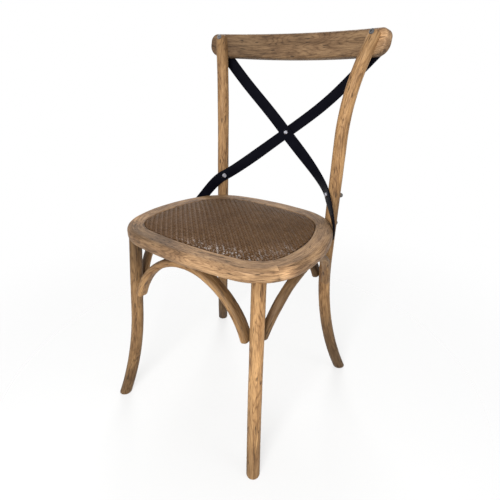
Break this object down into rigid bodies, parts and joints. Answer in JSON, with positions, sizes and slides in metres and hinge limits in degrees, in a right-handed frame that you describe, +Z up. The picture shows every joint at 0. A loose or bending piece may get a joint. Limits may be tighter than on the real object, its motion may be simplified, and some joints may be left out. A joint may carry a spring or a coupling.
{
  "type": "cross back chair",
  "caption": "Dining chair with bent round wooden legs, hooped braces, a woven seat panel in a rounded wooden rim, a bowed crest rail and crossed flat steel back straps.",
  "frame": {"origin": "on the floor, under the middle of the whole chair", "axes": "+Z up, the chair faces -Y, +X is the right side as seen from the front"},
  "size_m": [0.4768, 0.5133, 0.867],
  "materials": {
    "oak": "weathered light brown oak, satin",
    "plywood": "plain plywood",
    "dowel_wood": "plain beech",
    "weave": "close brown rattan twill weave",
    "black_steel": "satin black paint",
    "bolt_steel": "dull grey zinc",
    "screw_steel": "darkened steel"
  },
  "bodies": {
    "root": {"seat_rail_front": "oak", "seat_rail_rear": "oak", "seat_rail_right": "oak", "seat_rail_left": "oak", "front_leg_right": "oak", "front_leg_left": "oak", "rear_leg_right": "oak", "rear_leg_left": "oak", "front_brace": "oak", "rear_brace": "oak", "side_brace_right": "oak", "side_brace_left": "oak", "crest_rail": "oak", "seat_board": "plywood", "woven_seat": "weave", "cross_strap_right": "black_steel", "cross_strap_left": "black_steel", "strap_rivet": "black_steel", "crest_bolts": "bolt_steel", "crest_nuts": "bolt_steel", "strap_bolts": "bolt_steel", "strap_nuts": "bolt_steel", "post_bolts": "bolt_steel", "strap_head_screws": "screw_steel", "strap_foot_screws": "screw_steel", "brace_end_screws": "screw_steel", "brace_top_screws": "screw_steel", "board_screws": "screw_steel", "rail_dowels": "dowel_wood"}
  },
  "joints": []
}
